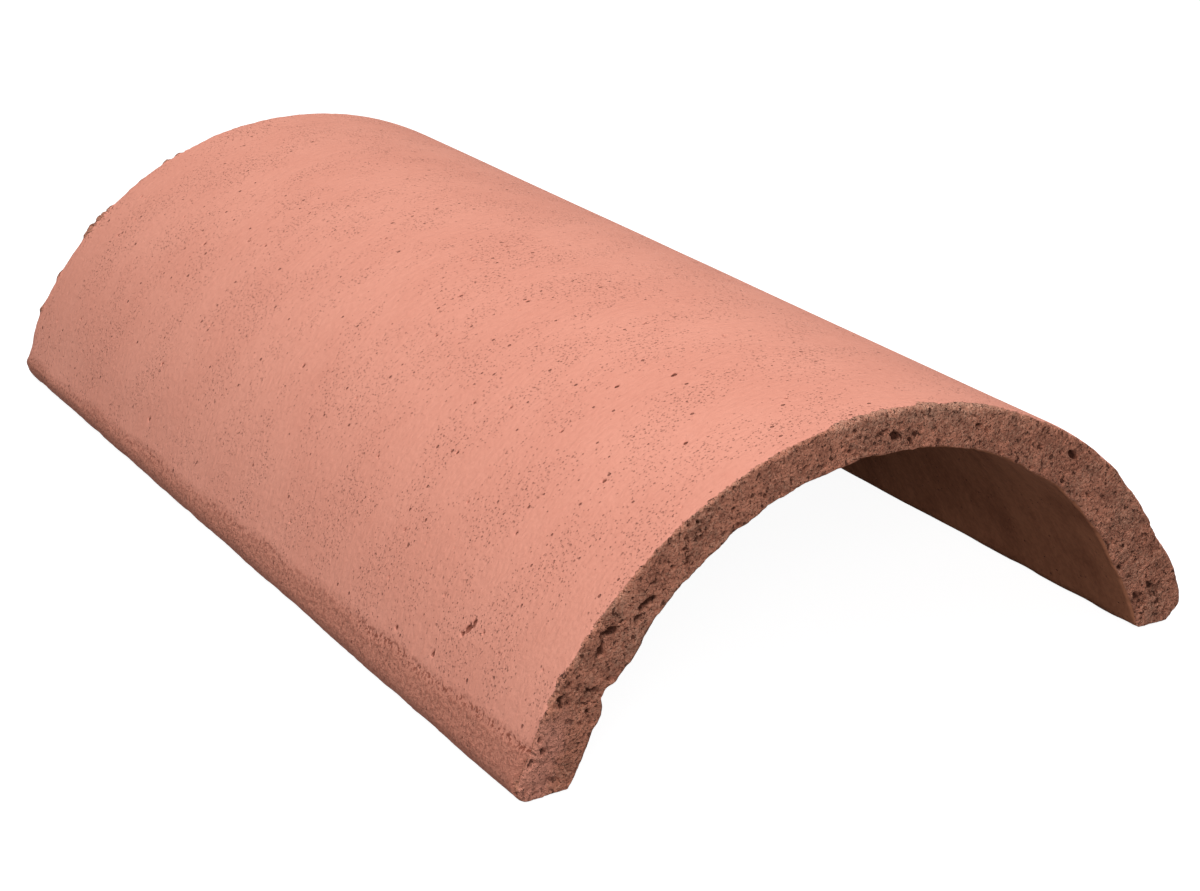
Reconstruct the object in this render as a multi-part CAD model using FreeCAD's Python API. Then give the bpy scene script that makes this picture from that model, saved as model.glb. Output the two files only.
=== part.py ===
import FreeCAD, Part
import math
import os

# Half round ridge tile: one piece of extruded, pigmented concrete, laid along the ridge of a roof.
# Its section is a shallow arch. The outer arc hands over to a straight flank above each foot, the foot
# stands on a narrow flat, and the wall grows thicker from the crown down to the feet.
#
# Frame, in millimetres: +X along the ridge, +Y across it, +Z up. The origin is on the floor, below the
# crown, at half the length.

# Driving dimensions
length = 450.0               # along the ridge
width = 268.0                # over the widest points of the two feet
height = 103.5               # from the floor to the top of the crown
crown_wall = 14.8            # wall at the crown
foot_wall = 20.5             # from the widest point of a foot to the inner face, both at floor level
flank_height = 22.0          # where the outer arc hands over to the straight flank of the foot
foot_outer_radius = 6.0      # round under the outside of each foot
foot_inner_radius = 4.0      # round under the inside of each foot
arris_radius = 1.2           # worn edge all round both cut ends

NODE = "ridge_tile"


def outer_arc():
    """Radius and centre height of the outer arc, and the angle of its end above the horizontal.

    The arc passes through the crown. At flank_height its tangent becomes the flank, which has to touch
    the round of the foot. That makes a quadratic in the radius, and its larger root is the arch.
    """
    drop = height - flank_height
    round_y = width / 2 - foot_outer_radius
    slope = height + drop - 2 * foot_outer_radius
    lift = (height - foot_outer_radius) * drop
    half = slope * lift + drop * round_y ** 2
    spread = half ** 2 - slope ** 2 * (lift ** 2 + (drop * round_y) ** 2)
    radius = (half + math.sqrt(spread)) / slope ** 2
    centre_z = height - radius
    return radius, centre_z, math.asin((flank_height - centre_z) / radius)


def inner_arc():
    """Radius and centre height of the arc through the inner crown and the inner face at floor level."""
    half_span = width / 2 - foot_wall
    rise = height - crown_wall
    radius = (half_span ** 2 + rise ** 2) / (2 * rise)
    return radius, rise - radius


def point(centre_y, centre_z, radius, angle, side=1):
    """Point of a circle in the plane of the section, on the right (side 1) or the left (side -1)."""
    y = centre_y + radius * math.cos(angle)
    z = centre_z + radius * math.sin(angle)
    return FreeCAD.Vector(-length / 2, side * y, z)


def foot_edges(side):
    """Edges of one foot, from the end of the outer arc to the end of the inner arc, with those two points."""
    outer_radius, outer_z, flank_angle = outer_arc()
    inner_radius, inner_z = inner_arc()
    outer_y = width / 2 - foot_outer_radius
    reach = inner_radius + foot_inner_radius
    inner_y = math.sqrt(reach ** 2 - (foot_inner_radius - inner_z) ** 2)
    inner_angle = math.atan2(inner_z - foot_inner_radius, -inner_y)
    straight_down = -math.pi / 2
    halfway_out = (flank_angle + straight_down) / 2
    halfway_in = (inner_angle + straight_down) / 2

    def outer_round(angle):
        return point(outer_y, foot_outer_radius, foot_outer_radius, angle, side)

    def inner_round(angle):
        return point(inner_y, foot_inner_radius, foot_inner_radius, angle, side)

    flank_top = point(0, outer_z, outer_radius, flank_angle, side)
    flank_foot = outer_round(flank_angle)
    flat_out = outer_round(straight_down)
    flat_in = inner_round(straight_down)
    inner_end = inner_round(inner_angle)
    edges = [
        Part.LineSegment(flank_top, flank_foot).toShape(),
        Part.Arc(flank_foot, outer_round(halfway_out), flat_out).toShape(),
        Part.LineSegment(flat_out, flat_in).toShape(),
        Part.Arc(flat_in, inner_round(halfway_in), inner_end).toShape(),
    ]
    return edges, flank_top, inner_end


def section():
    """Closed outline of the arch, as a face at the left end of the tile."""
    right, flank_right, inner_right = foot_edges(1)
    left, flank_left, inner_left = foot_edges(-1)
    crown = FreeCAD.Vector(-length / 2, 0, height)
    inner_crown = FreeCAD.Vector(-length / 2, 0, height - crown_wall)
    outer = Part.Arc(flank_left, crown, flank_right).toShape()
    inner = Part.Arc(inner_right, inner_crown, inner_left).toShape()
    wire = Part.Wire(Part.__sortEdges__([outer, *right, inner, *left]))
    return Part.Face(wire)


def cut_end_edges(solid):
    """Edges round the two cut ends."""
    def on_an_end(edge):
        box = edge.BoundBox
        return box.XLength < 1e-6 and abs(abs(box.XMin) - length / 2) < 1e-6

    return [edge for edge in solid.Edges if on_an_end(edge)]


def ridge_tile():
    """The whole tile: the section drawn out along the ridge, with its cut ends softened."""
    solid = section().extrude(FreeCAD.Vector(length, 0, 0))
    return solid.makeFillet(arris_radius, cut_end_edges(solid))


def main():
    os.makedirs("parts", exist_ok=True)
    tile = ridge_tile()
    radius, centre_z, angle = outer_arc()
    inner_radius, inner_z = inner_arc()
    print(f"outer arc: radius {radius:.2f}, centre at z {centre_z:.2f}, flank {math.degrees(angle):.1f} degrees")
    print(f"inner arc: radius {inner_radius:.2f}, centre at z {inner_z:.2f}")
    print(f"solid: valid {tile.isValid()}, {len(tile.Solids)} solid, {tile.Volume / 1000:.1f} cm3")
    tile.exportStep(f"parts/{NODE}.step")


main()
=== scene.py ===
import itertools
import math

import bpy
import numpy as np
from bpy.props import FloatProperty, FloatVectorProperty, IntProperty, PointerProperty
from mathutils import Matrix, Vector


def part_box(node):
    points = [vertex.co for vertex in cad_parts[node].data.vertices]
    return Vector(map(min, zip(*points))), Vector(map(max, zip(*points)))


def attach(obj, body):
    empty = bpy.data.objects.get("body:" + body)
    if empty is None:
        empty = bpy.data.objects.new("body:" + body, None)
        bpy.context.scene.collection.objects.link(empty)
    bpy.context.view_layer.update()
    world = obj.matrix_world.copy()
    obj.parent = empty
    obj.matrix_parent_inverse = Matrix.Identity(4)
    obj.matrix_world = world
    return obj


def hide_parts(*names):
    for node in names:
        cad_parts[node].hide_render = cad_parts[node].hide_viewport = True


bl_info = {
    "name": "Half round ridge tile",
    "version": (1, 0, 0),
    "blender": (4, 5, 0),
    "location": "View3D > Sidebar > Ridge tile",
    "description": "A coated concrete ridge tile with porous cut ends, and a studio round it",
    "category": "Object",
}

# The tile is one piece. Its skin is the skin of a bent box: "along" runs from the back end to the front end,
# "around" from the left foot over the crown to the right foot, and "outward" from the inner face to the
# outer. Each of the three goes from 0 to 1. Shapes are worked out in millimetres, and the mesh is in metres.

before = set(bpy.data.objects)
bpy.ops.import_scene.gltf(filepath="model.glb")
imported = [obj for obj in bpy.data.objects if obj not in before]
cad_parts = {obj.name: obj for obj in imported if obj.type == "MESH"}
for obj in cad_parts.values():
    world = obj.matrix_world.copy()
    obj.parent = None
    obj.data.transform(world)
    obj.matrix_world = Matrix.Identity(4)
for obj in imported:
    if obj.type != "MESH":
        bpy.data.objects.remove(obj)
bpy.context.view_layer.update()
NODE = "ridge_tile"
BODY = "root"
MM = 0.001
LOW, HIGH = (np.array(corner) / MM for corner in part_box(NODE))
LENGTH, WIDTH, HEIGHT = HIGH - LOW

# Lengths in millimetres
CLEARANCE = 0.02                 # the finished skin keeps this far inside the part's box
CROWN_ROOM = 0.35                # left above the crown for the waves of the skin
LEAN_FADE = 60                   # height at which the stretch of the right flank has faded out
END_DEPTH = 0.34                 # a cut end lies this far behind its plane on average
END_FADE = 7                     # the relief of a cut end fades out this far along the skin
SKIN_FADE = 5                    # the relief of the skin fades out this far inside a cut end
CORNER_FADE = 12                 # the same for a corner that has broken off

# The box that is bent into the tile has this many squares along, around and outward before it is refined.
COARSE_COUNTS = (56, 44, 2)

# Numbers of the tile's three materials
COAT, RAW, SOFFIT = range(3)


# ---------------------------------------------------------------- settings

class TileShape(bpy.types.PropertyGroup):
    """Section, ends and fineness of the tile."""

    crown_wall: FloatProperty(
        name="Crown wall", description="Thickness at the crown",
        default=14.8 * MM, min=5 * MM, unit="LENGTH")
    foot_wall: FloatProperty(
        name="Foot wall", description="From the widest point of a foot to the inner face at floor level",
        default=20.4 * MM, min=8 * MM, unit="LENGTH")
    flank_height: FloatProperty(
        name="Flank height", description="Where the outer arc hands over to the straight flank of a foot",
        default=22.0 * MM, unit="LENGTH")
    foot_outer_radius: FloatProperty(
        name="Outer foot radius", description="Round under the outside of each foot",
        default=6.0 * MM, unit="LENGTH")
    foot_inner_radius: FloatProperty(
        name="Inner foot radius", description="Round under the inside of each foot",
        default=4.0 * MM, unit="LENGTH")
    arris: FloatProperty(
        name="Arris", description="Size of the worn edge round both cut ends",
        default=0.9 * MM, unit="LENGTH")
    lean: FloatProperty(
        name="Lean",
        description="Turn of the arch towards its left foot. The right flank is longer by as much",
        default=math.radians(1.06), subtype="ANGLE")
    left_foot_drawn_in: FloatVectorProperty(
        name="Left foot drawn in", description="How far the left foot stands inside the box, back and front",
        default=(0.4 * MM, 0.0), size=2, unit="LENGTH")
    broken_foot: FloatProperty(
        name="Broken foot", description="What is missing from the outer corner of the front right foot",
        default=4.6 * MM, unit="LENGTH")
    fine_edge: FloatProperty(
        name="Fine edge", description="Longest triangle side on the front cut end",
        default=0.80 * MM, min=0.3 * MM, unit="LENGTH")
    back_edge: FloatProperty(
        name="Back edge", description="Longest triangle side on the back cut end",
        default=1.5 * MM, min=0.3 * MM, unit="LENGTH")
    broad_edge: FloatProperty(
        name="Broad edge", description="Longest triangle side in the middle of the tile",
        default=6.5 * MM, min=1 * MM, unit="LENGTH")
    seed: IntProperty(
        name="Seed", description="Changes every pore, pit and chip that isn't in a list",
        default=7, min=0)


class TileFinish(bpy.types.PropertyGroup):
    """Colours of the tile."""

    coat: FloatVectorProperty(
        name="Coat", description="Pigmented skin on the outside",
        default=(0.765, 0.322, 0.234), size=3, min=0, max=1, subtype="COLOR")
    coat_deep: FloatVectorProperty(
        name="Deep coat", description="Darker clouds in the pigmented skin",
        default=(0.665, 0.252, 0.178), size=3, min=0, max=1, subtype="COLOR")
    # Partly painted shade: the band's own browner colour, darkened as shade where the foot rounds under
    foot_band_and_shade: FloatVectorProperty(
        name="Foot band", description="Browner band along the feet",
        default=(0.440, 0.165, 0.108), size=3, min=0, max=1, subtype="COLOR")
    # Painted shade: the dark colour of the pinholes, pits and the specks along the crease and band
    pinhole_shade: FloatVectorProperty(
        name="Pinhole", description="Bottom of the small holes in the skin",
        default=(0.260, 0.075, 0.045), size=3, min=0, max=1, subtype="COLOR")
    raw: FloatVectorProperty(
        name="Raw concrete", description="Sandy body on the cut ends",
        default=(0.640, 0.255, 0.165), size=3, min=0, max=1, subtype="COLOR")
    raw_pale: FloatVectorProperty(
        name="Pale raw concrete", description="Paler sand and cement on the cut ends",
        default=(0.720, 0.370, 0.255), size=3, min=0, max=1, subtype="COLOR")
    # Partly painted shade: the dark specks of the concrete, and the shade painted into its pores and holes
    raw_dark_and_pore_shade: FloatVectorProperty(
        name="Dark raw concrete", description="Bottom of the pores and holes on the cut ends",
        default=(0.085, 0.028, 0.018), size=3, min=0, max=1, subtype="COLOR")
    soffit: FloatVectorProperty(
        name="Soffit", description="Smoothed inner face",
        default=(0.450, 0.180, 0.100), size=3, min=0, max=1, subtype="COLOR")
    soffit_dark: FloatVectorProperty(
        name="Dark soffit", description="Streaks left by the former on the inner face",
        default=(0.290, 0.108, 0.060), size=3, min=0, max=1, subtype="COLOR")


class TileStudio(bpy.types.PropertyGroup):
    """Camera, lamps and floor."""

    azimuth: FloatProperty(
        name="Azimuth", description="Way the camera looks, turned from along +Y",
        default=math.radians(58.67), subtype="ANGLE")
    elevation: FloatProperty(
        name="Elevation", description="How far the camera looks down",
        default=math.radians(21.01), subtype="ANGLE")
    roll: FloatProperty(
        name="Roll", description="How far the camera is tilted to its side",
        default=math.radians(0.69), subtype="ANGLE")
    distance: FloatProperty(
        name="Distance", description="From the camera to the tile's origin, along its line of sight",
        default=974.9 * MM, unit="LENGTH")
    sideways: FloatProperty(
        name="Sideways", description="How far the camera stands to the right of the tile's origin",
        default=27 * MM, unit="LENGTH")
    upwards: FloatProperty(
        name="Upwards",
        description="How far the camera stands above the tile's origin, across its line of sight",
        default=15 * MM, unit="LENGTH")
    lens: FloatProperty(
        name="Lens", description="Focal length in millimetres, for a 36 mm wide picture",
        default=73.24, min=20)
    top_power: FloatProperty(
        name="Top lamp", description="Power of the large lamp overhead, in watts",
        default=30.5, min=0)
    front_power: FloatProperty(
        name="Front lamp", description="Power of the lamp in front of the near end, in watts",
        default=9.8, min=0)
    fill: FloatProperty(
        name="Fill", description="Strength of the light from all round",
        default=0.28, min=0)


# ---------------------------------------------------------------- noise

# Odd 32-bit numbers that stir a seed, the three numbers of a cell and the result.
SEED_FACTOR = 0x9E3779B1
CELL_FACTORS = (0x85EBCA6B, 0xC2B2AE35, 0x27D4EB2F)
STIR_FACTOR = 0x2C1B3C6D
LAST_FACTOR = 0x297A2D39
ALL_BITS = 0xFFFFFFFF


def lattice_number(cells, seed):
    """A number from 0 to 1 for each whole-numbered cell: its three numbers and the seed are multiplied by odd
    constants, added, and stirred by shifts and multiplications in 32 bits."""
    stirred = np.full(cells.shape[:-1], (seed * SEED_FACTOR) & ALL_BITS, dtype=np.uint32)
    for column, factor in enumerate(CELL_FACTORS):
        stirred = stirred ^ (cells[..., column].astype(np.uint32) * np.uint32(factor))
        stirred = stirred * np.uint32(STIR_FACTOR)
        stirred ^= stirred >> np.uint32(13)
    stirred = stirred * np.uint32(LAST_FACTOR)
    stirred ^= stirred >> np.uint32(15)
    return stirred / ALL_BITS


def smooth_noise(points, size, seed):
    """Value noise from -1 to 1: the numbers of a cell's eight corners, blended by the fade
    6t^5 - 15t^4 + 10t^3 along each axis. size is the width of a cell, as one number or one for each axis."""
    scaled = points / np.asarray(size, dtype=float)
    cells = np.floor(scaled).astype(np.int64)
    part = scaled - cells
    fade = part ** 3 * (part * (part * 6 - 15) + 10)
    total = np.zeros(len(points))
    for corner in itertools.product((0, 1), repeat=3):
        weight = np.where(corner, fade, 1 - fade).prod(axis=1)
        total += weight * lattice_number(cells + corner, seed)
    return 2 * total - 1


def fractal_noise(points, size, seed, octaves=3):
    """Smooth noise added to itself at half the size and half the height, octaves times. The sum seldom
    reaches its ends, so it is raised by half, to about -1 to 1."""
    total = np.zeros(len(points))
    for octave in range(octaves):
        share = 0.5 ** octave
        total += share * smooth_noise(points, np.asarray(size) * share, seed + octave)
    largest = 2 - 0.5 ** (octaves - 1)
    return total / largest * 1.5


def nearest_seed(points, size, seed):
    """Distance to the nearest scattered seed, in cells, and that seed's own number from 0 to 1. Each cell
    holds one seed at a random place, and the 27 cells round a point are searched."""
    scaled = points / np.asarray(size, dtype=float)
    cells = np.floor(scaled).astype(np.int64)
    nearest = np.full(len(points), 9.0)
    number = np.zeros(len(points))
    for step in itertools.product((-1, 0, 1), repeat=3):
        cell = cells + step
        place = cell + np.stack([lattice_number(cell, seed + axis) for axis in range(3)], axis=1)
        distance = np.linalg.norm(scaled - place, axis=1)
        closer = distance < nearest
        nearest = np.where(closer, distance, nearest)
        number = np.where(closer, lattice_number(cell, seed + 3), number)
    return nearest, number


def ramp(value, start, end):
    """0 at start, 1 at end, and 3t^2 - 2t^3 between them. start may be the higher one."""
    share = np.clip((value - start) / (end - start), 0, 1)
    return share * share * (3 - 2 * share)


# ---------------------------------------------------------------- section

def arc(centre, radius, start, end, material_inside=True, steps=160):
    """Points of a circle, centre + radius (cos, sin), with the direction out of the material beside each."""
    angle = np.linspace(start, end, steps)
    spoke = np.stack([np.cos(angle), np.sin(angle)], axis=1)
    return np.hstack([centre + radius * spoke, spoke if material_inside else -spoke])


def mirrored(line):
    """The same line on the other side of the crown, run backwards."""
    return line[::-1] * (-1, 1, -1, 1)


def joined(*lines):
    """Lines end to end, without the points that two of them share."""
    line = np.vstack(lines)
    step = np.linalg.norm(np.diff(line[:, :2], axis=0), axis=1)
    return line[np.concatenate([[True], step > 1e-6])]


def section_lines(shape):
    """The outline as four lines of (y, z) with their outward directions: outer and inner face from the left
    foot to the right, and the soles of the left and right foot, each from its inner corner to its outer one.

    The outer face is an arc through the crown. At the flank's height it turns into a straight flank that
    touches the round of the foot, which gives a quadratic in its radius. The inner face is an arc too, and it
    touches the inner round of the foot.
    """
    crown = HEIGHT - CROWN_ROOM - WIDTH / 2 * math.sin(shape.lean)
    wall, foot_wall = shape.crown_wall / MM, shape.foot_wall / MM
    outer_round, inner_round = shape.foot_outer_radius / MM, shape.foot_inner_radius / MM
    drop = crown - shape.flank_height / MM
    half_width = WIDTH / 2
    round_y = half_width - outer_round
    slope = crown + drop - 2 * outer_round
    lift = (crown - outer_round) * drop
    half = slope * lift + drop * round_y ** 2
    radius = (half + math.sqrt(half ** 2 - slope ** 2 * (lift ** 2 + (drop * round_y) ** 2))) / slope ** 2
    flank = math.asin((radius - drop) / radius)

    half_span = half_width - foot_wall
    rise = crown - wall
    inner_radius = (half_span ** 2 + rise ** 2) / (2 * rise)
    inner_z = rise - inner_radius
    inner_y = math.sqrt((inner_radius + inner_round) ** 2 - (inner_round - inner_z) ** 2)
    touch = math.atan2(inner_z - inner_round, -inner_y)
    down = -math.pi / 2
    outer_corner, inner_corner = down / 2, (touch + down) / 2

    outer_centre, inner_centre = (round_y, outer_round), (inner_y, inner_round)
    right_outer = joined(
        arc((0, crown - radius), radius, math.pi / 2, flank),
        arc(outer_centre, outer_round, flank, outer_corner))
    sole = joined(
        arc(inner_centre, inner_round, inner_corner, down),
        arc(outer_centre, outer_round, down, outer_corner))
    right_inner = joined(
        arc((0, inner_z), inner_radius, math.pi / 2, touch + math.pi, material_inside=False),
        arc(inner_centre, inner_round, touch, inner_corner))
    whole_outer = joined(mirrored(right_outer), right_outer)
    whole_inner = joined(mirrored(right_inner), right_inner)
    left_sole = mirrored(sole)[::-1]
    return [leaned(line, shape.lean, round_y) for line in (whole_outer, whole_inner, left_sole, sole)]


def leaned(line, lean, foot_y):
    """The line turned about the left foot, which lifts its right side, and then stretched down on the right
    so that the right foot stands on the floor again. The stretch fades out at LEAN_FADE."""
    cosine, sine = math.cos(lean), math.sin(lean)
    y, z, out_y, out_z = line.T
    turned_y = (y + foot_y) * cosine - z * sine - foot_y
    turned_z = (y + foot_y) * sine + z * cosine
    lifted = (y + foot_y) * sine * (y > 0)
    turned_z = turned_z - lifted * np.clip(1 - z / LEAN_FADE, 0, 1)
    turned_out_y = out_y * cosine - out_z * sine
    turned_out_z = out_y * sine + out_z * cosine
    return np.stack([turned_y, turned_z, turned_out_y, turned_out_z], axis=1)


def follow(line, share):
    """Place and outward direction at a share of a line's length."""
    step = np.linalg.norm(np.diff(line[:, :2], axis=0), axis=1)
    run = np.concatenate([[0], np.cumsum(step)])
    return np.stack([np.interp(share * run[-1], run, column) for column in line.T], axis=1)


def run_of(line):
    """Length of a line."""
    return np.linalg.norm(np.diff(line[:, :2], axis=0), axis=1).sum()


def section_at(around, outward, lines):
    """Place and outward direction inside the section, as a patch between its four sides: the mean of inner
    and outer face, plus the mean of left and right sole, less the mean of the four corners."""
    outer, inner, left_sole, right_sole = lines
    around, outward = around[:, None], outward[:, None]
    left, right = follow(left_sole, outward[:, 0]), follow(right_sole, outward[:, 0])
    faces = (1 - outward) * follow(inner, around[:, 0]) + outward * follow(outer, around[:, 0])
    feet = (1 - around) * left + around * right
    corners = (1 - outward) * ((1 - around) * inner[0] + around * inner[-1])
    corners = corners + outward * ((1 - around) * outer[0] + around * outer[-1])
    return faces + feet - corners


# ---------------------------------------------------------------- mesh

def box_skin(counts):
    """Corners, from 0 to 1 on each axis, and outward triangles of a box's six faces. Each face is a grid, and
    each square of it two triangles whose first corners face their shared side."""
    corners, triangles, start = [], [], 0
    for axis, far in itertools.product(range(3), (0, 1)):
        first, second = (axis + 1) % 3, (axis + 2) % 3
        i, j = np.meshgrid(np.arange(counts[first] + 1), np.arange(counts[second] + 1), indexing="ij")
        index = np.arange(i.size).reshape(i.shape)
        a, b, c, d = index[:-1, :-1], index[1:, :-1], index[1:, 1:], index[:-1, 1:]
        pairs = np.stack([np.stack([b, c, a], axis=-1), np.stack([d, a, c], axis=-1)]).reshape(-1, 3)
        place = np.zeros((i.size, 3), dtype=int)
        place[:, first], place[:, second], place[:, axis] = i.ravel(), j.ravel(), far * counts[axis]
        corners.append(place)
        triangles.append((pairs if far else pairs[:, [0, 2, 1]]) + start)
        start += i.size
    corners, shared = np.unique(np.vstack(corners), axis=0, return_inverse=True)
    return corners / np.array(counts), shared.ravel()[np.vstack(triangles)]


def halved(triangles, sides, middle):
    """Each triangle whose long side has a middle point is split there, and the rest stay. A triangle's first
    corner faces its long side, which is its first side too. Side -1 is a new one, with no middle."""
    point = middle[sides[:, 0]]
    split = point >= 0
    first, second, third = triangles[split].T
    left = np.stack([point[split], first, second], axis=1)
    right = np.stack([point[split], third, first], axis=1)
    left_sides = np.full(left.shape, -1)
    right_sides = left_sides.copy()
    left_sides[:, 0] = sides[split, 2]
    right_sides[:, 0] = sides[split, 1]
    return (np.concatenate([triangles[~split], left, right]),
            np.concatenate([sides[~split], left_sides, right_sides]))


def refined(corners, triangles, place_of, wanted):
    """Halves triangles until every long side is as short as wanted at its middle. Where a side is cut, the
    triangle over it is halved too, long side first, so that no gap opens. Returns corners and triangles."""
    while True:
        ends = np.sort(triangles[:, [[1, 2], [2, 0], [0, 1]]], axis=2).reshape(-1, 2)
        code = ends[:, 0] * len(corners) + ends[:, 1]
        _, first_use, sides = np.unique(code, return_index=True, return_inverse=True)
        sides, ends = sides.reshape(-1, 3), ends[first_use]
        middles = corners[ends].mean(axis=1)
        length = np.linalg.norm(place_of(corners[ends[:, 0]]) - place_of(corners[ends[:, 1]]), axis=1)
        long_side = sides[:, 0]
        cut = np.zeros(len(ends), dtype=bool)
        cut[long_side] = (length > wanted(place_of(middles)))[long_side]
        if not cut.any():
            return corners, triangles
        while True:
            waiting = cut[sides].any(axis=1) & ~cut[long_side]
            if not waiting.any():
                break
            cut[long_side[waiting]] = True
        middle = np.full(len(ends) + 1, -1)
        middle[:-1][cut] = len(corners) + np.arange(cut.sum())
        corners = np.concatenate([corners, middles[cut]])
        triangles, sides = halved(triangles, sides, middle)
        triangles, sides = halved(triangles, sides, middle)


# ---------------------------------------------------------------- pits, holes and chips

# The largest pits in the coat: along the ridge and round from the crown, both in mm from the
# middle of the tile, with their radius and depth.
LARGE_PITS = (
    (171, -145, 1.7, 1.4),
    (172.5, -142.5, 1.3, 1.1),
    (169.5, -147.5, 1.1, 0.8),
    (153, -34, 1.2, 1.0),
    (181, -82, 0.9, 0.8),
    (192, -56, 0.9, 0.8),
    (142, -50, 1.0, 0.9),
    (70, 16, 0.8, 0.7),
    (59, -36, 0.9, 0.8),
    (31, -49, 0.9, 0.7),
    (159, -159, 1.2, 0.9),
    (134, -160, 1.0, 0.8),
    (-4, -106, 1.0, 0.8),
    (-87, -159, 1.1, 0.8),
    (-133, -87, 0.9, 0.7),
)

# The largest holes in the front cut end: y and z of the middle, half length, half width, turn
# in degrees from level, and depth.
FRONT_HOLES = (
    (-88, 57, 3.6, 1.3, 20, 3.6),
    (-91, 53, 1.6, 1.1, 60, 2.2),
    (-101, 51, 3.2, 1.2, 5, 3.2),
    (-104, 46, 2.4, 1.0, 70, 2.0),
    (-74, 68, 2.2, 0.9, 40, 2.6),
    (-118, 31, 1.3, 2.6, 10, 2.4),
    (-107, 33, 2.4, 0.9, -20, 2.0),
    (-124, 17, 1.8, 1.0, 50, 1.8),
    (-128, 13, 1.6, 1.2, 30, 1.6),
    (3, 94, 2.6, 1.3, -15, 2.6),
    (9, 91, 1.6, 1.2, 60, 2.4),
    (-2, 96, 2.6, 0.8, 10, 2.0),
    (37, 91, 1.7, 0.9, -10, 2.4),
    (63, 79, 1.4, 0.9, 30, 1.8),
    (78, 73, 2.8, 1.0, -35, 3.0),
    (83, 53, 1.8, 0.8, -60, 1.8),
    (90, 46, 2.0, 0.9, -50, 2.2),
    (97, 36, 2.2, 1.0, -60, 2.2),
    (104, 27, 1.5, 0.9, -20, 2.2),
    (113, 14, 2.0, 1.4, -40, 2.0),
    (119, 17, 3.0, 1.2, -30, 2.4),
    (123, 10, 2.0, 0.9, 20, 1.8),
)

# Lumps on the front inner rim above the left foot: height above the floor, reach each way and how far they
# stand out, in mm. The one that stands out less than nothing is a notch.
FRONT_LUMPS = (
    (43, 14, 1.8),
    (30, 4, -1.8),
    (19, 11, 1.4),
)

# Crumbs of mortar on the back outer rim: place round from the crown, reach each way and height, in mm.
BACK_CRUMBS = (
    (-150, 5, 0.9),
    (-134, 4, 1.0),
    (-110, 6, 1.4),
    (-102, 5, 2.0),
    (-97, 4, 1.3),
    (-64, 3, 1.0),
    (-57, 3, 1.5),
    (-53, 2, 1.0),
)


def coat_pits(seed, around_length):
    """Every pit in the coat, as rows of along, around, radius and depth: the large ones, and smaller ones
    scattered more thickly on the left and towards the front."""
    random = np.random.default_rng(seed)
    tried = 420
    along = random.uniform(-LENGTH / 2 + 6, LENGTH / 2 - 6, tried)
    around = random.uniform(-around_length / 2 + 16, around_length / 2 - 16, tried)
    likely = 0.07 + 0.20 * (around < -60) + 0.12 * (along > 60) * (around < 0)
    kept = random.uniform(0, 1, tried) < likely
    radius = random.uniform(0.4, 0.8, tried)
    depth = radius * random.uniform(0.7, 1.0, tried)
    scattered = np.stack([along, around, radius, depth], axis=1)[kept]
    return np.vstack([LARGE_PITS, scattered])


def crease_height(x):
    """Height above the floor of the line where the former's edge marked the flanks, at a place along the
    tile: low at the back and rising to the front."""
    return 9.0 + 8.5 * np.clip((x + LENGTH / 2) / LENGTH, 0, 1)


def wanted_sides(shape, pits, arc_radius):
    """A function that says how long a triangle's side may be at a point: fine on the cut ends, growing away
    from them, short on the left foot and finest at each pit."""
    fine, back, broad = shape.fine_edge / MM, shape.back_edge / MM, shape.broad_edge / MM
    on_crease = 2.6

    def wanted(point):
        x, y, z = point.T
        from_end = LENGTH / 2 - np.abs(x)
        outside = np.hypot(y, z - HEIGHT + arc_radius) > arc_radius - 4
        growth = np.where(outside, 0.25, 0.36)
        side = np.minimum(np.where(x > 0, fine, back) + growth * np.maximum(from_end - 1.5, 0), broad)
        on_foot = (z < 22) & outside & (y < 0)
        side = np.minimum(side, np.where(on_foot, on_crease, broad))
        around = arc_radius * np.arctan2(y, z - HEIGHT + arc_radius)
        for pit_along, pit_around, radius, _depth in pits:
            distance = np.hypot(x - pit_along, around - pit_around)
            near = 0.45 + 0.50 * np.maximum(distance - radius, 0)
            side = np.where(outside, np.minimum(side, near), side)
        return side

    return wanted


def hole_depths(y, z, holes):
    """Depth that the listed holes reach at each point of a cut end: each is an ellipse with steep sides, and
    the deepest one counts."""
    depth = np.zeros(len(y))
    for hole_y, hole_z, half_length, half_width, turn, deepest in holes:
        cosine, sine = math.cos(math.radians(turn)), math.sin(math.radians(turn))
        level = (y - hole_y) * cosine + (z - hole_z) * sine
        upright = (z - hole_z) * cosine - (y - hole_y) * sine
        reach = np.hypot(level / half_length, upright / half_width)
        depth = np.maximum(depth, deepest * ramp(reach, 1.15, 0.45))
    return depth


def pore_depths(bent, crowded, seed):
    """Depth of small pores, at most one to a cell: a cell's own number says whether it holds one and how
    large it is. More of them are open where they crowd."""
    distance, size = nearest_seed(bent, 2.6, seed)
    is_open = size > 0.84 - 0.42 * crowded
    radius = 0.10 + 0.22 * size ** 2
    return is_open * (0.4 + 1.1 * size ** 2) * ramp(distance, radius * 1.5, radius * 0.5)


def gash_depths(bent, place, crowded, seed):
    """Depth of gashes: the lines along which one noise is near nought, open where another one is high."""
    seam = ramp(np.abs(fractal_noise(bent * (1, 0.7, 1.4), 6.0, seed, 2)), 0.11, 0.02)
    opened = ramp(smooth_noise(place, 5.0, seed + 1), 0.05, 0.45)
    return 1.5 * seam * opened * (0.3 + 0.7 * crowded)


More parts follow.
